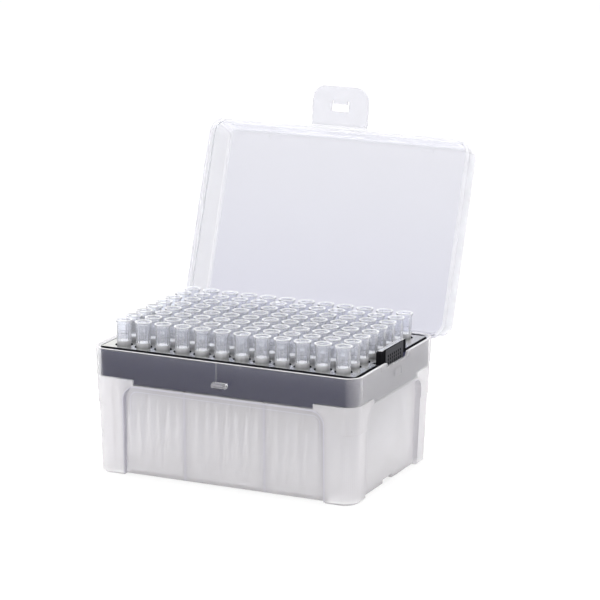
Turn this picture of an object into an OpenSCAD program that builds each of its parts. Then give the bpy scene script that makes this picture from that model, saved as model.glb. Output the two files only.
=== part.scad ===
// Pipette tip box: a hinged box with a drop-in rack that carries a grid of filter tips.
// Millimetres. Z is up, the front faces -Y, and the lid stands open on its stops.
// The origin is the centre of the box's footprint, on the plane of its feet.

/* [Tip grid] */
// Columns of tips, left to right
columns = 12; // [6:2:12]
// Rows of tips, front to back
rows = 8; // [4:2:8]
// Distance between neighbouring tips, the microplate pitch
pitch = 9; // [8.6:0.1:9.1]

/* [Box base] */
// Width over the rim
base_w = 120; // [118:0.5:150]
// Depth over the rim
base_d = 83.6; // [82:0.2:110]
// Height from the feet to the rim
base_h = 53.4; // [50:0.2:66]
// How far each end wall leans in from rim to foot
end_lean = 1.5; // [0.5:0.1:3]
// How far the front and back walls lean in from rim to foot
front_lean = 2.1; // [0.5:0.1:3]
// Outer corner radius at the rim
corner_r = 6.7; // [4:0.1:10]
// Thickness of the moulded walls
wall = 1.2; // [0.8:0.1:1.6]
// Height of the small shoulder in the end walls
shoulder_z = 29.4; // [20:0.2:34]
// Depth of that shoulder
shoulder_step = 0.4; // [0.2:0.1:0.8]
// Height of the corner feet
foot_h = 0.5; // [0.3:0.1:1.5]
// Rounding of the bottom edge
foot_edge = 0.8; // [0.4:0.1:1.2]

/* [Recessed panels] */
// Depth of the panels behind the corner pillars
panel_depth = 2; // [1:0.1:3]
// Width of the front and back panels
front_panel_w = 90; // [60:0.5:96]
// Width of the end panels
end_panel_w = 54.8; // [30:0.4:60]
// Radius of the panels' top corners
panel_r = 5.5; // [2:0.1:8]
// Length of the stiffening ribs behind the front and back panels
rib_len = 5.6; // [3:0.1:6]

/* [Rack] */
// Height of the rack, from the ledge that it stands on to its deck
rack_h = 14; // [11:0.2:20]
// Gap between the rack's edge and the box wall
rack_gap = 0.9; // [0.5:0.1:1.5]
// Thickness of the deck
deck_t = 2.4; // [2:0.1:4]
// Thickness of the skirt
skirt_t = 1.5; // [1:0.1:1.6]
// How much shorter the skirt is at its corners
skirt_lift = 2.1; // [1:0.1:4]
// Radius of the holes that hold the tips
hole_r = 2.5; // [2.3:0.05:2.6]
// Radius of the counterbore round each hole
counterbore_r = 3.7; // [3.2:0.05:4]
// Depth of the counterbore
counterbore_h = 1; // [0.6:0.1:1.4]
// Length of each lifting handle
handle_w = 26; // [18:0.5:34]
// Height of the handles above the deck
handle_h = 4.9; // [3:0.1:8]
// Thickness of the handles
handle_t = 2.2; // [1.4:0.1:2.4]
// Width of the grip pad on each handle
grip_w = 18.4; // [10:0.2:24]

/* [Tips] */
// Length of a tip
tip_len = 58.5; // [50:0.5:60]
// Height of the tips above the deck
tip_rise = 10.75; // [7:0.05:12]
// Radius of the flange round the mouth
flange_r = 3.57; // [3.2:0.01:3.9]
// Radius of the collar
collar_r = 3.05; // [2.9:0.05:3.3]
// Length of the collar below the flange's top
collar_len = 9.4; // [6:0.1:10]
// Radius of the stem that stands on the deck
stem_r = 2.95; // [2.9:0.05:3.2]
// Radius of the mouth that takes the pipette's cone
mouth_r = 2.62; // [2.2:0.02:2.7]
// Length of the straight seat inside the mouth
mouth_len = 5; // [4:0.5:7]
// Length of the filter plug
filter_len = 8.5; // [5:0.5:10]

/* [Lid] */
// Height of the lid over all
lid_h = 15.2; // [15:0.1:24]
// How far the lid's lip reaches down over the rim
lip_h = 1.6; // [1.2:0.1:3]
// Gap between the lip and the rim
lip_gap = 0.25; // [0.15:0.05:0.6]
// Gap left between the closed lid and the rim
seat_gap = 0.05; // [0.02:0.01:0.3]
// Width of the step from the lip to the lid's side wall
lip_step = 1.1; // [0.8:0.05:1.3]
// How far the lid's walls lean in
lid_lean = 0.85; // [0.4:0.05:1.5]
// Corner radius of the lid's side wall
lid_r = 5.9; // [4:0.1:7]
// Rounding of the lid's top edge
lid_edge = 1.6; // [0.8:0.1:2.4]
// Angle between the closed lid and the lid on its stops
open_angle = 108.6; // [95:0.1:115]

/* [Hinge and latch] */
// Distance of each hinge from the middle
hinge_x = 36; // [24:1:44]
// Distance of the hinge axis behind the rim
hinge_out = 2.43; // [2.4:0.01:4]
// Distance of the hinge axis below the rim
hinge_drop = 3.4; // [3.4:0.05:5]
// Radius of the hinge pins
pin_r = 1.25; // [1:0.05:1.3]
// Radial clearance of the pins in their clips
pin_fit = 0.05; // [0.02:0.01:0.1]
// Width of each clip
clip_w = 7.4; // [4:0.2:12]
// Width of the latch tab
tab_w = 26; // [16:0.5:34]
// Length of the latch tab from its fold
tab_len = 16.8; // [14:0.1:22]
// Radius of the tab's outer corners
tab_r = 6; // [3:0.1:8]
// Angle that the tab is bent forward by when the lid is open
tab_bend = 13.5; // [0:0.5:30]
// Width of the latch slot
slot_w = 8.1; // [6.6:0.1:12]
// Width of the nub that the slot closes over
nub_w = 6; // [3:0.1:9]
// Height of the nub
nub_h = 1.9; // [1.2:0.1:2.2]

/* [Hidden] */
$fn = 64;
skin = 0.01;
over = 4;
clear = 0.3;
plastic = [0.86, 0.87, 0.9, 0.55];
slate = [0.2, 0.2, 0.25];

// Box base
front_angle = atan(front_lean / base_h);
end_angle = atan(end_lean / base_h);
floor_z = foot_h + wall;
ledge_z = base_h - rack_h;
panel_top = ledge_z - wall;
foot_inset = 0.6;
rib_x = floor(columns / 6) * pitch;
notch_w = 9.8;
notch_top = 2;
notch_depth = 3;
finger_w = 22.4;
finger_h = 2;
pad_size = [1, 6, 3];
pad_down = 5.9;
nub_edge = 0.3;
nub_ramp = [1, 0.9];

// Rack
rack_w = base_w - 2 * (wall + rack_gap);
rack_d = base_d - 2 * (wall + rack_gap);
rack_r = corner_r - wall - rack_gap;
skirt_long_w = front_panel_w - 2 * panel_r + 2.2;
skirt_long_d = end_panel_w - 2 * panel_r + 2.8;
rack_rib_t = 1;
rack_rib_h = 5;
rack_rib_rows = [-2, 0, 2];
deck_edge = 0.5;
handle_r = 1.5;
grip_proud = 0.5;
grip_margin = 0.2;
grip_below = 0.6;
relief_w = 1.9;
relief_in = 3.1;
dimple_pitch = [2.12, 1.46];
dimple_size = [0.8, 1, 1.1];
dimple_down = 3;

// Tips
seat_z = base_h - counterbore_h;
tip_top = tip_rise + counterbore_h;
tip_end = max(tip_top - tip_len, floor_z + 1 - seat_z);
tip_wall = 0.4;
tip_edge = 0.35;
flange_t = 0.8;
shoulder_up = tip_top - collar_len;
seat_low = tip_top - tip_edge - mouth_len;
neck_r = hole_r - 0.08;
body_z = 0.394 * tip_end;
body_r = neck_r - 0.22;
waist_z = 0.821 * tip_end;
waist_r = 1;
waist_step = 0.6;
point_r = 0.4;
bore_r = 0.2;
filter_r = neck_r - 0.37;
filter_head_r = stem_r - 0.5;
filter_top = shoulder_up + 0.6;
filter_fit = 0.05;
filter_end = filter_top - filter_len;

// Lid, drawn closed and then swung open
rim_z = base_h - lip_h;
lid_top = rim_z + lid_h;
lip_w = base_w + 2 * (lip_gap + wall);
lip_d = base_d + 2 * (lip_gap + wall);
lip_r = corner_r + lip_gap + wall;
shell_w = lip_w - 2 * lip_step;
shell_d = lip_d - 2 * lip_step;

// Hinge
hinge_y = base_d / 2 + hinge_out;
hinge_z = base_h - hinge_drop;
back_wall_y = base_d / 2 - front_lean * hinge_drop / base_h;
lug_r = hinge_drop - lip_h - 0.1;
lug_t = 2;
clip_r = 2.05;
clip_mouth = 0.8;
clip_mouth_turn = -15;
arm_low = 4.2;
arm_high = 6.2;
arm_in = 0.9;
heel_len = 4.2;
heel_up = 1;
mark_size = [5.4, 1.2, 1];
mark_x = base_w / 2 - 23.6;
mark_in = 4;

// Latch
film = 0.4;
fold_fit = 0.1;
tab_t = 1.2;
fold_out = 0.5;
tab_relief = 0.5;
fold_y = -lip_d / 2 - fold_out;
fold_z = rim_z + film / 2;
tab_root = 0.55;
thin_len = 4.2;
thin_cut = 0.4;
slot_near = 5.85;
slot_far = 10.5;
tongue_tip = 9.1;
tongue_w = 6.3;
nub_z = fold_z - (slot_near + tongue_tip) / 2;
nub_y = -base_d / 2 + front_lean * (base_h - nub_z) / base_h;

function front_half(z) = base_d / 2 - front_lean * (1 - z / base_h);
function end_half(z) = base_w / 2 - end_lean * (1 - z / base_h);

// Outline of a rectangle with round corners, centred
module round_rect(w, d, r) {
    square([w - 2 * r, d], center = true);
    square([w, d - 2 * r], center = true);
    for (x = [-1, 1], y = [-1, 1])
        translate([x * (w / 2 - r), y * (d / 2 - r)])
            circle(r);
}

// Thin slice of a round-cornered box, the rung that the shells are lofted on
module slice(w, d, r, z) {
    steps = 12;
    corners = [[1, 1], [-1, 1], [-1, -1], [1, -1]];
    translate([0, 0, z - skin])
        linear_extrude(skin)
            polygon([
                for (k = [0:3], a = [0:steps])
                    [
                        corners[k][0] * (w / 2 - r) + r * cos(90 * (k + a / steps)),
                        corners[k][1] * (d / 2 - r) + r * sin(90 * (k + a / steps))
                    ]
            ]);
}

// Outline of height h with two round corners at its top, which also reaches down by root
module arch(w, h, r, root) {
    translate([-w / 2, -root])
        square([w, h + root - r]);
    translate([-w / 2 + r, 0])
        square([w - 2 * r, h]);
    for (x = [-1, 1])
        translate([x * (w / 2 - r), h - r])
            circle(r);
}

// Places a profile drawn in Y and Z, and runs it along X about the middle
module across(length) {
    rotate([90, 0, 90])
        translate([0, 0, -length / 2])
            linear_extrude(length)
                children();
}

// ---- Box base ----

// Block that a panel takes out of the leaning wall at distance half
module panel_block(half, angle, w, top, r, depth) {
    translate([0, -half, 0])
        rotate([angle, 0, 0])
            translate([0, depth, 0])
                rotate([90, 0, 0])
                    linear_extrude(depth + over)
                        arch(w, top, r, over);
}

// The four panel blocks with level tops, grown so that the wall keeps its thickness
module panel_blocks(grow) {
    top = panel_top + grow;
    difference() {
        union() {
            for (turn = [0, 180])
                rotate([0, 0, turn])
                    panel_block(front_half(0), front_angle, front_panel_w + 2 * grow,
                                top + 0.1, panel_r + grow, panel_depth + grow);
            for (turn = [90, 270])
                rotate([0, 0, turn])
                    panel_block(end_half(0) - shoulder_step, end_angle,
                                end_panel_w + 2 * grow, top + 0.1, panel_r + grow,
                                panel_depth + grow);
        }
        translate([-base_w, -base_d, top])
            cube([2 * base_w, 2 * base_d, base_h]);
    }
}

module base_outside() {
    hull() {
        slice(2 * (end_half(0) - shoulder_step - foot_edge), 2 * (front_half(0) - foot_edge),
              corner_r - foot_edge, skin);
        slice(2 * (end_half(0) - shoulder_step), 2 * front_half(0), corner_r, foot_edge);
        slice(2 * (end_half(shoulder_z) - shoulder_step), 2 * front_half(shoulder_z),
              corner_r, shoulder_z);
    }
    hull() {
        slice(2 * (end_half(shoulder_z) - shoulder_step), 2 * front_half(shoulder_z),
              corner_r, shoulder_z);
        slice(2 * end_half(shoulder_z), 2 * front_half(shoulder_z + shoulder_step),
              corner_r, shoulder_z + shoulder_step);
        slice(base_w, base_d, corner_r, base_h);
    }
}

module base_inside() {
    difference() {
        hull() {
            slice(2 * (end_half(0) - shoulder_step - wall), 2 * (front_half(0) - wall),
                  corner_r - wall, floor_z + skin);
            slice(base_w - 2 * wall, base_d - 2 * wall, corner_r - wall, base_h + skin);
        }
        panel_blocks(wall);
    }
}

// Leaves only the corner feet on the ground
module under_floor() {
    between_w = front_panel_w + 2 * foot_inset;
    between_d = end_panel_w + 2 * foot_inset;
    translate([-base_w, -between_d / 2, -over])
        cube([2 * base_w, between_d, over + foot_h]);
    translate([-between_w / 2, -base_d, -over])
        cube([between_w, 2 * base_d, over + foot_h]);
}

module stiffening_ribs() {
    for (x = [-rib_x, rib_x], turn = [0, 180])
        rotate([0, 0, turn])
            translate([x - wall / 2, -front_half(0), 0])
                rotate([front_angle, 0, 0])
                    translate([0, panel_depth + wall / 2, floor_z - wall / 2])
                        cube([wall, wall / 2 + rib_len, ledge_z - floor_z]);
}

// Puts its children at the foot of both end walls, with Y pointing into the box
module at_ends() {
    for (turn = [90, 270])
        rotate([0, 0, turn])
            translate([0, shoulder_step - end_half(0), 0])
                children();
}

// Moulded hood over the slot under each end panel
module notch_hoods() {
    at_ends()
        translate([-notch_w / 2 - wall, panel_depth + wall / 2, foot_h])
            cube([notch_w + 2 * wall, wall / 2 + notch_depth, notch_top + wall - foot_h]);
}

module notch_cuts() {
    at_ends()
        translate([-notch_w / 2, -over, -over])
            cube([notch_w, over + panel_depth + notch_depth, over + notch_top]);
}

// Cut-out in the end walls that a finger reaches through to the rack's handles
module finger_notches() {
    across(2 * base_w)
        translate([0, base_h]) {
            square([finger_w - 2 * finger_h, 2 * finger_h], center = true);
            translate([-finger_w / 2, 0])
                square([finger_w, over]);
            for (y = [-1, 1])
                translate([y * (finger_w / 2 - finger_h), 0])
                    circle(finger_h);
        }
}

// Nub in the middle of the front, which the latch tab snaps over
module nub() {
    front = fold_y - tab_t + film / 2 - fold_fit;
    low = nub_z - nub_h / 2;
    high = nub_z + nub_h / 2;
    across(nub_w)
        polygon([
            [nub_y + wall / 2, low],
            [front + nub_edge, low],
            [front, low + nub_edge],
            [front, high - nub_ramp[1]],
            [front + nub_ramp[0], high],
            [nub_y + wall / 2, high]
        ]);
}

// Side profile of a hinge lug: a round end on the pin, and a web that runs down to the back wall
module lug_profile() {
    root_y = back_wall_y - wall / 2;
    translate([hinge_y, hinge_z])
        circle(lug_r);
    polygon([
        [root_y, hinge_z + 0.8 * lug_r],
        [hinge_y, hinge_z + 0.8 * lug_r],
        [hinge_y + 0.8 * lug_r, hinge_z - 0.6 * lug_r],
        [root_y, hinge_z - 3 * lug_r]
    ]);
}

module hinge_lugs() {
    side = clip_w / 2 + clear + lug_t / 2;
    for (x = [-hinge_x, hinge_x]) {
        for (s = [-side, side])
            translate([x + s, 0, 0])
                across(lug_t)
                    lug_profile();
        translate([x - side, hinge_y, hinge_z])
            rotate([0, 90, 0])
                cylinder(h = 2 * side, r = pin_r);
    }
}

// Raised pads in the end walls under the handles
module end_pads() {
    for (side = [-1, 1])
        translate([side * end_half(base_h - pad_down), 0, base_h - pad_down])
            cube(pad_size, center = true);
}

module base() {
    color(plastic)
        difference() {
            union() {
                difference() {
                    base_outside();
                    base_inside();
                    panel_blocks(0);
                    under_floor();
                }
                stiffening_ribs();
                notch_hoods();
                nub();
                end_pads();
                hinge_lugs();
            }
            notch_cuts();
            finger_notches();
        }
}

// ---- Rack ----

// Bevelled strip along X that joins the round corners of the deck's top edge
module edge_strip(length, half) {
    across(length)
        polygon([
            [-half, base_h - deck_edge],
            [half, base_h - deck_edge],
            [half - deck_edge, base_h],
            [-half + deck_edge, base_h]
        ]);
}

// Solid block of the rack with a bevelled top edge
module rack_block() {
    translate([0, 0, ledge_z])
        linear_extrude(base_h - deck_edge - ledge_z)
            round_rect(rack_w, rack_d, rack_r);
    for (x = [-1, 1], y = [-1, 1])
        translate([x * (rack_w / 2 - rack_r), y * (rack_d / 2 - rack_r), base_h - deck_edge])
            cylinder(h = deck_edge, r1 = rack_r, r2 = rack_r - deck_edge);
    edge_strip(rack_w - 2 * rack_r, rack_d / 2);
    rotate([0, 0, 90])
        edge_strip(rack_d - 2 * rack_r, rack_w / 2);
}

module rack_shell() {
    difference() {
        rack_block();
        translate([0, 0, ledge_z - over])
            linear_extrude(base_h - deck_t - ledge_z + over)
                round_rect(rack_w - 2 * skirt_t, rack_d - 2 * skirt_t, rack_r - skirt_t);
        for (x = [-1, 1], y = [-1, 1])
            translate([x * (skirt_long_w + rack_w) / 2, y * (skirt_long_d + rack_d) / 2, ledge_z])
                cube([rack_w, rack_d, 2 * skirt_lift], center = true);
    }
}

// Ribs under the deck, which run between the tips
module rack_ribs() {
    low = base_h - deck_t - rack_rib_h;
    for (y = rack_rib_rows * pitch)
        translate([-rack_w / 2 + skirt_t / 2, y - rack_rib_t / 2, low])
            cube([rack_w - skirt_t, rack_rib_t, rack_rib_h + deck_t / 2]);
    for (x = [-rib_x, rib_x])
        translate([x - rack_rib_t / 2, -rack_d / 2 + skirt_t / 2, low])
            cube([rack_rib_t, rack_d - skirt_t, rack_rib_h + deck_t / 2]);
}

module tip_holes() {
    for (x = [0:columns - 1], y = [0:rows - 1])
        translate([(x - (columns - 1) / 2) * pitch, (y - (rows - 1) / 2) * pitch, 0]) {
            translate([0, 0, base_h - 2 * deck_t])
                cylinder(h = 3 * deck_t, r = hole_r, $fn = 32);
            translate([0, 0, seat_z])
                cylinder(h = 2 * counterbore_h, r = counterbore_r, $fn = 32);
        }
}

// Handle at the +X end: a plate with a dimpled grip pad on its outer face
module handle() {
    grip_low = base_h - finger_h - grip_below;
    grip_top = base_h + handle_h - grip_margin;
    translate([rack_w / 2 - handle_t / 2, 0, base_h])
        across(handle_t)
            arch(handle_w, handle_h, handle_r, deck_t / 2);
    difference() {
        translate([rack_w / 2 - skirt_t / 2, -grip_w / 2, grip_low])
            cube([skirt_t / 2 + grip_proud, grip_w, grip_top - grip_low]);
        for (i = [-3:3], j = [0:2])
            translate([rack_w / 2 + grip_proud, i * dimple_pitch[0],
                       grip_top - dimple_down - j * dimple_pitch[1]])
                cube(dimple_size, center = true);
    }
}

// Slots in the deck at both ends of a handle
module handle_reliefs() {
    for (y = [-1, 1])
        translate([rack_w / 2 - relief_in + over, y * (handle_w + relief_w) / 2, base_h])
            cube([2 * over, relief_w, 3 * deck_t], center = true);
}

module rack() {
    color(slate)
        difference() {
            union() {
                rack_shell();
                rack_ribs();
                for (turn = [0, 180])
                    rotate([0, 0, turn])
                        handle();
            }
            tip_holes();
            for (turn = [0, 180])
                rotate([0, 0, turn])
                    handle_reliefs();
        }
}

// ---- Tips and filters ----

// Half section of a tip, with heights from the plane that it stands on
module tip_section() {
    polygon([
        [mouth_r + tip_edge, tip_top],
        [flange_r, tip_top],
        [flange_r, tip_top - flange_t],
        [collar_r, tip_top - flange_t - 0.3],
        [collar_r, shoulder_up + 0.3],
        [stem_r, shoulder_up],
        [stem_r, 0],
        [neck_r, 0],
        [body_r, body_z],
        [waist_r, waist_z],
        [waist_r - 0.28, waist_z - waist_step],
        [point_r, tip_end],
        [bore_r, tip_end],
        [waist_r - 0.6, waist_z - waist_step],
        [waist_r - tip_wall, waist_z],
        [body_r - tip_wall, body_z],
        [filter_r - 0.3, filter_end - 0.2],
        [filter_r + filter_fit, filter_end],
        [filter_r + filter_fit, 0],
        [filter_head_r + filter_fit, filter_top],
        [filter_head_r + filter_fit, filter_top + 0.1],
        [mouth_r - 0.14, seat_low - 0.2],
        [mouth_r, seat_low],
        [mouth_r, tip_top - tip_edge]
    ]);
}

// Places its children on every seat of a column
module on_column(i) {
    for (y = [0:rows - 1])
        translate([(i - (columns + 1) / 2) * pitch, (y - (rows - 1) / 2) * pitch, seat_z])
            children();
}

module tips_column(i) {
    color([0.93, 0.94, 0.97, 0.5])
        on_column(i)
            rotate_extrude($fn = 48)
                tip_section();
}

module filters_column(i) {
    color([0.95, 0.95, 0.93])
        on_column(i)
            union() {
                translate([0, 0, filter_end])
                    cylinder(h = -filter_end, r = filter_r, $fn = 32);
                cylinder(h = filter_top, r1 = filter_r, r2 = filter_head_r, $fn = 32);
            }
}

// ---- Lid ----

// Swings what is drawn in the closed position back to the open stops
module swung_open() {
    translate([0, hinge_y, hinge_z])
        rotate([-open_angle, 0, 0])
            translate([0, -hinge_y, -hinge_z])
                children();
}

// Side wall and top panel of the lid, lofted and rounded along the top edge
module lid_loft(inset, bottom, top) {
    lean = lid_lean + inset;
    hull() {
        slice(shell_w - 2 * inset, shell_d - 2 * inset, lid_r - inset, bottom);
        for (a = [0, 30, 60, 90])
            slice(shell_w - 2 * lean - 2 * lid_edge * (1 - cos(a)),
                  shell_d - 2 * lean - 2 * lid_edge * (1 - cos(a)),
                  lid_r - inset - lid_edge * (1 - cos(a)) / 2,
                  top - lid_edge * (1 - sin(a)));
    }
}

// Small stacking marks in the corners of the lid's top
module stacking_marks() {
    for (x = [-mark_x, mark_x], y = [-1, 1])
        translate([x, y * (shell_d / 2 - mark_in), lid_top])
            cube(mark_size, center = true);
}

// Clip round a hinge pin, with the heel that stops the lid when it is open
module clip_profile() {
    stop = back_wall_y - hinge_y + clear;
    mouth = clip_mouth * pin_r;
    translate([hinge_y, hinge_z])
        difference() {
            union() {
                circle(clip_r);
                polygon([
                    [-clip_r, arm_in],
                    [-clip_r + 0.5, lip_h + arm_low],
                    [-hinge_out + 0.1, lip_h + arm_high],
                    [-hinge_out + arm_in, lip_h + arm_high],
                    [clip_r, lip_h + arm_low / 2],
                    [clip_r, 0]
                ]);
                rotate(open_angle)
                    polygon([
                        [stop, -heel_len],
                        [stop, -heel_up],
                        [0, 0],
                        [0.2, -heel_len]
                    ]);
            }
            circle(pin_r + pin_fit);
            rotate(clip_mouth_turn)
                translate([-mouth, -over])
                    square([2 * mouth, over]);
        }
}

module hinge_clips() {
    for (x = [-hinge_x, hinge_x])
        translate([x, 0, 0])
            across(clip_w)
                clip_profile();
}

// The lid's half of the thin fold, hollowed to the tab's bead
module fold_edge() {
    difference() {
        translate([-tab_w / 2, fold_y, rim_z])
            cube([tab_w, lip_gap + wall, film]);
        translate([-base_w, fold_y, fold_z])
            rotate([0, 90, 0])
                cylinder(h = 2 * base_w, r = film / 2 + fold_fit);
    }
}

module lid_closed() {
    difference() {
        union() {
            translate([0, 0, rim_z])
                linear_extrude(lip_h + seat_gap + wall)
                    round_rect(lip_w, lip_d, lip_r);
            lid_loft(0, base_h + seat_gap, lid_top);
            stacking_marks();
        }
        translate([0, 0, rim_z - over])
            linear_extrude(lip_h + seat_gap + over)
                round_rect(lip_w - 2 * wall, lip_d - 2 * wall, lip_r - wall);
        lid_loft(wall, base_h, lid_top - wall);
        translate([-tab_w / 2 - clear, -lip_d / 2 - over, rim_z - over])
            cube([tab_w + 2 * clear, over + tab_relief, over + tab_t]);
    }
    fold_edge();
}

module lid() {
    color(plastic)
        swung_open() {
            lid_closed();
            difference() {
                hinge_clips();
                lid_loft(wall, base_h, lid_top - wall);
            }
        }
}

// ---- Latch tab ----

// Lays an outline drawn away from the fold on the lid's rim plane, and gives it a thickness
module flat_on_rim(thickness) {
    translate([0, 0, -film / 2])
        rotate([0, 0, 180])
            linear_extrude(thickness)
                children();
}

// Outline of the tab from its root to its round outer corners
module tab_outline() {
    translate([-tab_w / 2, tab_root])
        square([tab_w, tab_len - tab_root - tab_r]);
    translate([-tab_w / 2 + tab_r, tab_root])
        square([tab_w - 2 * tab_r, tab_len - tab_root]);
    for (x = [-1, 1])
        translate([x * (tab_w / 2 - tab_r), tab_len - tab_r])
            circle(tab_r);
}

// Latch slot with the springy tongue that catches under the nub
module slot_outline() {
    difference() {
        translate([-slot_w / 2, slot_near])
            square([slot_w, slot_far - slot_near]);
        translate([-tongue_w / 2, tongue_tip])
            square([tongue_w, slot_far]);
    }
}

module latch_tab() {
    color(plastic)
        swung_open()
            translate([0, fold_y, fold_z])
                rotate([tab_bend, 0, 0]) {
                    difference() {
                        flat_on_rim(tab_t)
                            tab_outline();
                        translate([0, 0, -over])
                            flat_on_rim(3 * over)
                                slot_outline();
                        translate([-tab_w, -over - tab_len, tab_t - film / 2 - thin_cut])
                            cube([2 * tab_w, over + thin_len, over]);
                    }
                    translate([-tab_w / 2, -tab_root - film, -film / 2])
                        cube([tab_w, tab_root + film, film]);
                    translate([-tab_w / 2, 0, 0])
                        rotate([0, 90, 0])
                            cylinder(h = tab_w, r = film / 2);
                }
}

base();
rack();
for (i = [1:columns]) {
    tips_column(i);
    filters_column(i);
}
lid();
latch_tab();
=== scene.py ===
import bpy
from math import pi, radians
from mathutils import Matrix, Vector

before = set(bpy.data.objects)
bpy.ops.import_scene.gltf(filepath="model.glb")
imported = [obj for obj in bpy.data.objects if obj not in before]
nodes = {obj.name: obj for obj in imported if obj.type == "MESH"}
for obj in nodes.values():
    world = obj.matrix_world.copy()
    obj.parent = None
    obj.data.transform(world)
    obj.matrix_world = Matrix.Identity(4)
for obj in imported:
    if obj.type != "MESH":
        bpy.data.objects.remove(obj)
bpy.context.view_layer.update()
bpy.ops.object.select_all(action="DESELECT")
print("loaded", len(nodes), "cad nodes")

mm = 0.001

# the tips stand on a square grid, one node for each column
grid = {
    "pitch": 9 * mm,
    "columns": 12,
    "rows": 8,
}
tipColumns = ["tips_column_%d" % (i + 1) for i in range(grid["columns"])]
filterColumns = ["filters_column_%d" % (i + 1) for i in range(grid["columns"])]


# shader maths: a Signal is a socket that can stand in a sum
class Signal:
    def __init__(self, paint, socket):
        self.paint = paint
        self.socket = socket

    def __add__(self, other):
        return self.paint.maths("ADD", self, other)

    def __radd__(self, other):
        return self.paint.maths("ADD", other, self)

    def __sub__(self, other):
        return self.paint.maths("SUBTRACT", self, other)

    def __rsub__(self, other):
        return self.paint.maths("SUBTRACT", other, self)

    def __mul__(self, other):
        return self.paint.maths("MULTIPLY", self, other)

    def __rmul__(self, other):
        return self.paint.maths("MULTIPLY", other, self)

    def __truediv__(self, other):
        return self.paint.maths("DIVIDE", self, other)

    def __rtruediv__(self, other):
        return self.paint.maths("DIVIDE", other, self)

    def __gt__(self, other):
        return self.paint.maths("GREATER_THAN", self, other)

    def __lt__(self, other):
        return self.paint.maths("LESS_THAN", self, other)

    def __abs__(self):
        return self.paint.maths("ABSOLUTE", self)


# one material, or the world, under construction
class Paint:
    def __init__(self, owner, shader="Principled BSDF"):
        owner.use_nodes = True
        self.owner = owner
        self.tree = owner.node_tree
        self.shader = self.tree.nodes[shader]
        self.surface = Signal(self, self.shader.outputs[0])

    # every node is made here: its settings first, then values and links for its sockets
    def node(self, kind, settings, sockets, output=0):
        made = self.tree.nodes.new(kind)
        for key, value in settings.items():
            setattr(made, key, value)
        for key, value in sockets.items():
            self.wire(made.inputs[key], value)
        return Signal(self, made.outputs[output])

    def wire(self, socket, value):
        if isinstance(value, Signal):
            self.tree.links.new(value.socket, socket)
        else:
            socket.default_value = value

    def feed(self, name, value):
        self.wire(self.shader.inputs[name], value)

    def maths(self, operation, first, second=0.0):
        return self.node("ShaderNodeMath", {"operation": operation}, {0: first, 1: second})

    def larger(self, first, second):
        return self.maths("MAXIMUM", first, second)

    # 0 at start and 1 at end, whichever is the higher
    def ramp(self, value, start, end):
        sockets = {"Value": value, "From Min": start, "From Max": end}
        return self.node("ShaderNodeMapRange", {}, sockets)

    def place(self):
        return self.node("ShaderNodeTexCoord", {}, {}, "Object")

    def axis(self, letter):
        return self.node("ShaderNodeSeparateXYZ", {}, {0: self.place()}, letter)

    def noise(self, size, detail):
        sockets = {"Vector": self.place(), "Scale": 1 / size, "Detail": detail}
        return self.node("ShaderNodeTexNoise", {}, sockets)

    # a Mix node's colours are sockets 6 and 7, and come out at 2
    def mixColour(self, factor, first, second):
        settings = {"data_type": "RGBA"}
        return self.node("ShaderNodeMix", settings, {0: factor, 6: first, 7: second}, 2)

    def bump(self, height, distance, strength):
        sockets = {"Height": height, "Distance": distance, "Strength": strength}
        return self.node("ShaderNodeBump", {}, sockets)

    # 1 for a ray from the camera, mirrored or through plastic, which all show the white backdrop
    def seen(self):
        kinds = ("Is Camera Ray", "Is Glossy Ray", "Is Transmission Ray")
        camera, mirrored, through = [self.node("ShaderNodeLightPath", {}, {}, kind) for kind in kinds]
        return self.larger(self.larger(camera, mirrored), through)

    def diffuse(self, colour):
        return self.node("ShaderNodeBsdfDiffuse", {}, {"Color": colour})

    def translucent(self, colour):
        return self.node("ShaderNodeBsdfTranslucent", {}, {"Color": colour})

    def blend(self, share, first, second):
        return self.node("ShaderNodeMixShader", {}, {0: share, 1: first, 2: second})

    # lays another shader over what is there, for a share of the surface
    def cover(self, share, other):
        self.surface = self.blend(share, self.surface, other)
        self.wire(self.tree.nodes["Material Output"].inputs["Surface"], self.surface)


def newPaint(name):
    return Paint(bpy.data.materials.new(name))


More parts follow.
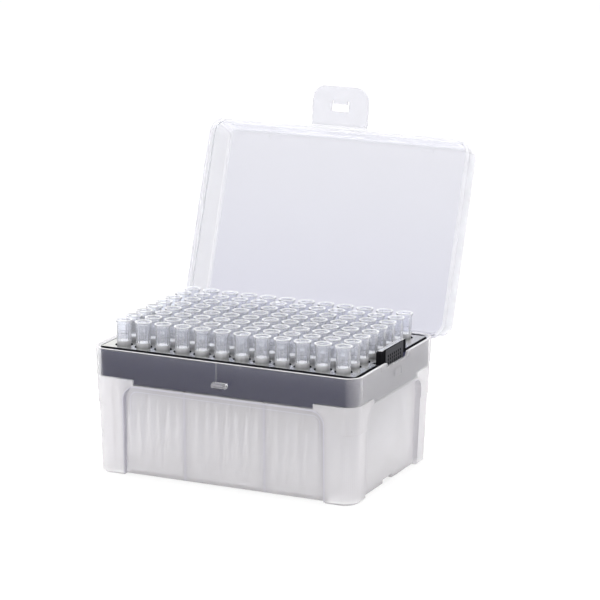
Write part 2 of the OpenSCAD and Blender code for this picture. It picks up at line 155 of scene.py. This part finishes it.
# milky polypropylene, with a share of plain white where the wall is thick or rubbed, and white as painted
# light low on the walls and on the end walls
bodyPlastic = {
    "colour": (0.965, 0.965, 0.98, 1),
    "borderColour": (0.965, 0.965, 0.985, 1),
    "borderGain": 4,  # how soon chalk turns the tint to the border's
    "milk": (0.05, 0.09),
    "milkColour": (0.98, 0.98, 0.985, 1),
    "chalkColour": (0.985, 0.96, 0.98, 1),
    "ior": 1.4,
    "roughness": (0.15, 0.2),
    "cloud": 22 * mm,
    "wave": 3 * mm,
    "waveDepth": 0.02 * mm,
    "waveStrength": 0.3,
    "lowWallPaintedLight": 0.28,
    "endPaintedLight": 0.12,
    "edgeChalk": 0.28,
    "nubChalk": 0.1,
    "skirtFoot": 39.2 * mm,
    "skirtLift": 2.1 * mm,
    "skirtCorner": (40.6 * mm, 23.3 * mm),
    "ends": (54 * mm, 59 * mm),
    "nubFace": 42.1 * mm,
    "rimTop": 53.3 * mm,
    "witness": (-2.4 * mm, 0.07 * mm),  # its place along the front and half its width
    "witnessFoot": 45.5 * mm,
    # painted shade: colour and shares of the darker lines on the panels' step walls, over the ribs and
    # over the ledge
    "shadeLineColour": (0.4, 0.39, 0.45, 1),
    "frontShadeLine": 0.65,
    "endShadeLine": 0.22,
    "ledgeShade": 0.08,
    "shadeLineOut": 0.2 * mm,
    "shadeLineHalf": 0.35 * mm,
    "innerShadeLine": 0.7,
    "innerEdge": 2.2 * mm,
    "innerHalf": 0.16 * mm,
    "innerFade": (20 * mm, 32 * mm),
    "front": {"panelHalf": 45 * mm, "panelTop": 38.2 * mm, "panelRadius": 5.5 * mm, "face": 37 * mm},
    "end": {"panelHalf": 27.4 * mm, "panelTop": 38.2 * mm, "panelRadius": 5.5 * mm, "face": 55.2 * mm},
    "ribs": 18 * mm,
    "ribHalf": 0.5 * mm,
    "ribShare": 0.34,
    "ribReach": 2.6 * mm,
    "ribShade": 0.14,
}

# the lid is greyer, and lightens towards its free edge
lidPlastic = {
    "colour": (0.66, 0.66, 0.735, 1),
    "upperColour": (0.8, 0.8, 0.85, 1),
    "borderColour": (0.9, 0.9, 0.93, 1),
    "borderGain": 4,
    "fade": (60 * mm, 130 * mm),
    "milk": (0.12, 0.2),
    "milkColour": (0.82, 0.82, 0.87, 1),
    "chalkColour": (0.95, 0.95, 0.97, 1),
    "ior": 1.3,
    "roughness": (0.1, 0.16),
    "cloud": 22 * mm,
    "cloudTint": 0.3,
    "topClear": 0.3,
    "sideChalk": 0.25,
    "topChalk": 0.25,
    "sides": (56.5 * mm, 58 * mm),
    "top": (129 * mm, 131 * mm),
}

# the latch tab is thin, and even all over
tabPlastic = dict(
    lidPlastic,
    upperColour=(0.78, 0.78, 0.83, 1),
    borderColour=(0.84, 0.84, 0.88, 1),
    tabChalk=0.12,
)


# where the box looks whiter: painted light up to the foot of the rack's skirt and in the end walls,
# and white on the nub and the rim, and in a thin upright line over the nub
def bodyChalkAndPaintedLight(paint, look):
    height = paint.axis("Z")
    side = abs(paint.axis("X"))
    away = abs(paint.axis("Y"))
    cornerX, cornerY = look["skirtCorner"]
    lift = look["skirtLift"] * (side > cornerX) * (away > cornerY)
    # painted light: the walls are whiter below the foot of the rack's skirt, where light comes through the
    # box
    wall = (height < lift + look["skirtFoot"]) * look["lowWallPaintedLight"]
    # painted light: the end walls are whiter, for the light that falls on them at a grazing view
    ends = paint.ramp(side, *look["ends"]) * look["endPaintedLight"]
    middle, half = look["witness"]
    witness = (abs(paint.axis("X") - middle) < half) * (height > look["witnessFoot"])
    witness = witness * (paint.axis("Y") < -look["front"]["face"])
    edges = (height > look["rimTop"]) + witness
    nub = (paint.axis("Y") < -look["nubFace"]) * look["nubChalk"]
    return paint.larger(paint.larger(wall, ends), edges * look["edgeChalk"] + nub)


# distance outside a round-topped panel's outline, along one wall
def panelEdge(paint, across, height, panel):
    radius = panel["panelRadius"]
    over = paint.larger(across - (panel["panelHalf"] - radius), 0.0)
    above = paint.larger(height - (panel["panelTop"] - radius), 0.0)
    return paint.maths("SQRT", over * over + above * above) - radius


# painted shade: darker lines on the step walls round the sunk panels, and over the ribs and the ledge
# behind them
def bodyPaintedShadeLines(paint, look):
    front, end = look["front"], look["end"]
    height = paint.axis("Z")
    side = abs(paint.axis("X"))
    away = abs(paint.axis("Y"))
    edge = panelEdge(paint, side, height, front)
    outline = (abs(edge - look["shadeLineOut"]) < look["shadeLineHalf"]) * look["frontShadeLine"]
    inner = (abs(edge + look["innerEdge"]) < look["innerHalf"]) * look["innerShadeLine"]
    inner = inner * paint.ramp(height, *look["innerFade"])
    rib = abs(side - look["ribs"])
    ribs = (rib < look["ribHalf"]) * look["ribShare"]
    ribs = ribs + paint.ramp(rib, look["ribReach"], 0) * look["ribShade"]
    ledge = (height > front["panelTop"]) * (side < front["panelHalf"]) * (height < look["skirtFoot"])
    behind = ribs * (height < front["panelTop"]) + ledge * look["ledgeShade"]
    endEdge = panelEdge(paint, away, height, end)
    endOutline = (abs(endEdge - look["shadeLineOut"]) < look["shadeLineHalf"]) * (side > end["face"])
    return (away > front["face"]) * (outline + inner + behind) + endOutline * look["endShadeLine"]


# where the lid looks whiter: its side walls and its free edge
def lidChalk(paint, look):
    sides = paint.ramp(abs(paint.axis("X")), *look["sides"]) * look["sideChalk"]
    top = paint.ramp(paint.axis("Z"), *look["top"]) * look["topChalk"]
    return paint.larger(sides, top)


# where light passes the lid unspread: its free edge
def lidClear(paint, look):
    return paint.ramp(paint.axis("Z"), *look["top"]) * look["topClear"]


def tabChalk(paint, look):
    return look["tabChalk"]


# clear at heart, clouded with milk, and covered with chalk and painted light, clear patches and painted
# shade lines where a piece has them
def frostedPolypropylene(name, look, chalk, paintedShadeLines=None, clear=None):
    paint = newPaint(name)
    clouds = paint.noise(look["cloud"], detail=3.0)
    low, high = look["roughness"]
    thin, thick = look["milk"]
    share = chalk(paint, look)
    border = share * look["borderGain"]
    tint = look["colour"]
    if "fade" in look:
        rise = paint.ramp(paint.axis("Z"), *look["fade"]) + (clouds - 0.5) * look["cloudTint"]
        tint = paint.mixColour(rise, tint, look["upperColour"])
    paint.feed("Base Color", paint.mixColour(border, tint, look["borderColour"]))
    paint.feed("Roughness", low + (high - low) * clouds)
    paint.feed("Transmission Weight", 1.0)
    paint.feed("IOR", look["ior"])
    if "wave" in look:
        waves = paint.noise(look["wave"], detail=1.0)
        paint.feed("Normal", paint.bump(waves * (1 - border), look["waveDepth"], look["waveStrength"]))
    paint.cover(thin + (thick - thin) * clouds, paint.translucent(look["milkColour"]))
    # chalk: plain white, and painted light where the mask puts it
    paint.cover(share, paint.diffuse(look["chalkColour"]))
    if clear:
        paint.cover(clear(paint, look), paint.node("ShaderNodeBsdfTransparent", {}, {}))
    if paintedShadeLines:
        # painted shade lines over the plastic
        paint.cover(paintedShadeLines(paint, look), paint.diffuse(look["shadeLineColour"]))
    return paint.owner


# dark rack, with painted light on its upright skirt and pads, and a shine on the deck and the handles that
# grows towards a grazing look
rackPlastic = {
    "colour": (0.006, 0.006, 0.007, 1),
    "rubbedColour": (0.01, 0.01, 0.012, 1),
    # painted light: the upright skirt and pad faces get a lighter, bluer colour than the rest of the rack,
    # for how light falls on them
    "skirtLitColour": (0.055, 0.055, 0.1, 1),
    "padLitColour": (0.062, 0.062, 0.068, 1),
    "skirtTop": 52.6 * mm,
    "skirtFace": 58 * mm,
    "padFace": 58.3 * mm,
    "deck": (53.3 * mm, 53.6 * mm),
    "deckReach": (57 * mm, 37.4 * mm),
    "handleTop": 58.2 * mm,
    "shineColour": (1, 1, 0.98, 1),
    "shineRoughness": 0.2,
    "shineBlend": 0.7,
    "shineGain": 1.2,
    "deckShine": 0.92,
    "handleShine": 1.25,
    "roughness": (0.4, 0.5),
    "rubbed": 8 * mm,
    "grain": 0.25 * mm,
    "grainDepth": 0.03 * mm,
    "grainStrength": 0.3,
}


def satinRackPlastic(name, look):
    paint = newPaint(name)
    rubbed = paint.noise(look["rubbed"], detail=4.0)
    grain = paint.noise(look["grain"], detail=2.0)
    low, high = look["roughness"]
    height = paint.axis("Z")
    side = abs(paint.axis("X"))
    skirt = (height < look["skirtTop"]) * (side < look["skirtFace"])
    deckLow, deckHigh = look["deck"]
    reachX, reachY = look["deckReach"]
    deck = (height > deckLow) * (height < deckHigh) * (side < reachX)
    deck = deck * (abs(paint.axis("Y")) < reachY)
    colour = paint.mixColour(rubbed, look["colour"], look["rubbedColour"])
    # painted light on the skirt and the pads
    colour = paint.mixColour(skirt, colour, look["skirtLitColour"])
    paint.feed("Base Color", paint.mixColour(side > look["padFace"], colour, look["padLitColour"]))
    paint.feed("Roughness", low + (high - low) * rubbed)
    paint.feed("Normal", paint.bump(grain, look["grainDepth"], look["grainStrength"]))
    paint.feed("Specular IOR Level", 0.0)
    facing = paint.node("ShaderNodeLayerWeight", {}, {"Blend": look["shineBlend"]}, "Facing")
    grazing = facing * facing * facing * look["shineGain"]
    settings = {"Color": look["shineColour"], "Roughness": look["shineRoughness"]}
    shine = paint.node("ShaderNodeBsdfAnisotropic", {}, settings)
    top = (height > look["handleTop"]) * look["handleShine"]
    paint.cover((deck * look["deckShine"] + top) * grazing, shine)
    return paint.owner


# clear tips with fine flutes round their collars, and white low in each collar, with painted shade at its
# foot
clearTips = {
    "colour": (0.91, 0.925, 0.985, 1),
    "roughness": 0.1,
    "ior": 1.4,
    "milk": 0.1,
    "milkColour": (0.97, 0.97, 0.98, 1),
    "chalk": 0.05,
    "rimChalk": 0.28,
    "rimLow": 63.9 * mm,
    "plugChalk": 0.32,
    "plugShadow": (0.5, 0.5, 0.5, 1),
    "plugFoot": 52.4 * mm,
    "plugFade": (53.4 * mm, 55.35 * mm),
    "flutes": 14,
    "fluteDepth": 0.1 * mm,
    "fluteStrength": 0.6,
    "fluteBand": (55.5 * mm, 62.4 * mm),
}


def clearTipPlastic(name, look):
    paint = newPaint(name)
    # where a point lies in its own square of the grid, from the tip's axis
    x = paint.maths("FRACT", paint.axis("X") / grid["pitch"] + grid["columns"]) - 0.5
    y = paint.maths("FRACT", paint.axis("Y") / grid["pitch"] + grid["rows"]) - 0.5
    turn = paint.maths("ARCTAN2", y, x)
    wave = paint.maths("SINE", turn * look["flutes"])
    height = paint.axis("Z")
    fluteFoot, fluteTop = look["fluteBand"]
    band = (height > fluteFoot) * (height < fluteTop)
    paint.feed("Base Color", look["colour"])
    paint.feed("Roughness", look["roughness"])
    paint.feed("Normal", paint.bump(wave * band, look["fluteDepth"], look["fluteStrength"]))
    paint.feed("Transmission Weight", 1.0)
    paint.feed("IOR", look["ior"])
    paint.cover(look["milk"], paint.translucent(look["milkColour"]))
    plugLow, plugTop = look["plugFade"]
    plug = (height > look["plugFoot"]) * (height < plugTop) * look["plugChalk"]
    rim = (height > look["rimLow"]) * look["rimChalk"]
    # painted shade: the white greys to plugShadow low in the collar, and the tips' chalk below the plug
    # takes the same grey
    lit = paint.ramp(height, plugLow, plugTop)
    white = paint.blend(lit, paint.diffuse(look["plugShadow"]), paint.diffuse(look["milkColour"]))
    paint.cover(look["chalk"] + rim + plug, white)
    return paint.owner


# porous plug of sintered plastic
filterPlug = {
    "colour": (0.9, 0.89, 0.86, 1),
    "poreColour": (0.7, 0.7, 0.68, 1),
    "roughness": 0.8,
    "pore": 0.3 * mm,
    "poreDepth": 0.08 * mm,
    "poreStrength": 0.6,
}


def sinteredFilter(name, look):
    paint = newPaint(name)
    sockets = {"Vector": paint.place(), "Scale": 1 / look["pore"]}
    beads = paint.node("ShaderNodeTexVoronoi", {"feature": "F1"}, sockets, "Distance")
    paint.feed("Base Color", paint.mixColour(beads, look["colour"], look["poreColour"]))
    paint.feed("Roughness", look["roughness"])
    paint.feed("Normal", paint.bump(1 - beads, look["poreDepth"], look["poreStrength"]))
    return paint.owner


def dress(names, material):
    for name in names:
        mesh = nodes[name].data
        mesh.materials.clear()
        mesh.materials.append(material)


dress(["base"], frostedPolypropylene("body_polypropylene", bodyPlastic, bodyChalkAndPaintedLight, bodyPaintedShadeLines))
dress(["lid"], frostedPolypropylene("lid_polypropylene", lidPlastic, lidChalk, clear=lidClear))
dress(["latch_tab"], frostedPolypropylene("tab_polypropylene", tabPlastic, tabChalk))
dress(["rack"], satinRackPlastic("rack_plastic", rackPlastic))
dress(tipColumns, clearTipPlastic("clear_tip_plastic", clearTips))
dress(filterColumns, sinteredFilter("sintered_filter", filterPlug))
print("dressed the cad nodes")


# plain table in a white world, which looks a little whiter than it lights
studio = {
    "floorColour": (0.9, 0.9, 0.9, 1),
    "floorRoughness": 0.9,
    "floorSize": 6,
    "whiteness": 0.75,
    "backdropColour": (1, 1, 1, 1),
    "backdropStrength": 1.0,
    "worldStrength": 0.95,
    "lampAim": (0, 0, 50 * mm),
}


def backdropWhite(name, look):
    paint = newPaint(name)
    paint.feed("Base Color", look["floorColour"])
    paint.feed("Roughness", look["floorRoughness"])
    glow = {"Color": look["backdropColour"], "Strength": look["backdropStrength"]}
    paint.cover(paint.seen() * look["whiteness"], paint.node("ShaderNodeEmission", {}, glow))
    return paint.owner


bpy.ops.mesh.primitive_plane_add(size=studio["floorSize"], location=(0, 0, 0))
floor = bpy.context.object
floor.name = "floor"
floor.data.materials.append(backdropWhite("floor_white", studio))


def whiteWorld(name, look):
    sky = Paint(bpy.data.worlds.new(name), "Background")
    levels = {0: sky.seen(), 2: look["worldStrength"], 3: look["backdropStrength"]}
    sky.feed("Color", look["backdropColour"])
    sky.feed("Strength", sky.node("ShaderNodeMix", {}, levels))
    return sky.owner


bpy.context.scene.world = whiteWorld("studio", studio)

lamps = {
    "overhead": {"place": (-0.1, 0.2, 1.2), "size": 1.0, "power": 20},
    "front": {"place": (0.1, -1.1, 0.7), "size": 0.9, "power": 3.2},
}


def softLamp(name, look):
    place = Vector(look["place"])
    bpy.ops.object.light_add(type="AREA", location=place)
    lamp = bpy.context.object
    lamp.name = name
    lamp.data.size = look["size"]
    lamp.data.energy = look["power"]
    aim = Vector(studio["lampAim"]) - place
    lamp.rotation_euler = aim.to_track_quat("-Z", "Y").to_euler()


for name, look in lamps.items():
    softLamp(name, look)
print("lit the studio")

# the camera looks down a little, from the front right
view = {
    "azimuth": 24.434,
    "elevation": 13.405,
    "roll": 0.564,
    "distance": 1195.8 * mm,
    "target": Vector((15.811, 0, 72.575)) * mm,
    "lens": 174.0,
}
around = Matrix.Rotation(radians(view["azimuth"]), 4, "Z")
down = Matrix.Rotation(pi / 2 - radians(view["elevation"]), 4, "X")
turned = around @ down @ Matrix.Rotation(radians(view["roll"]), 4, "Z")
back = Matrix.Translation((0, 0, view["distance"]))
bpy.ops.object.camera_add()
camera = bpy.context.object
camera.name = "camera"
camera.data.lens = view["lens"]
camera.matrix_world = Matrix.Translation(view["target"]) @ turned @ back
bpy.context.scene.camera = camera
bpy.context.scene.view_settings.view_transform = "Standard"
print("set the camera")
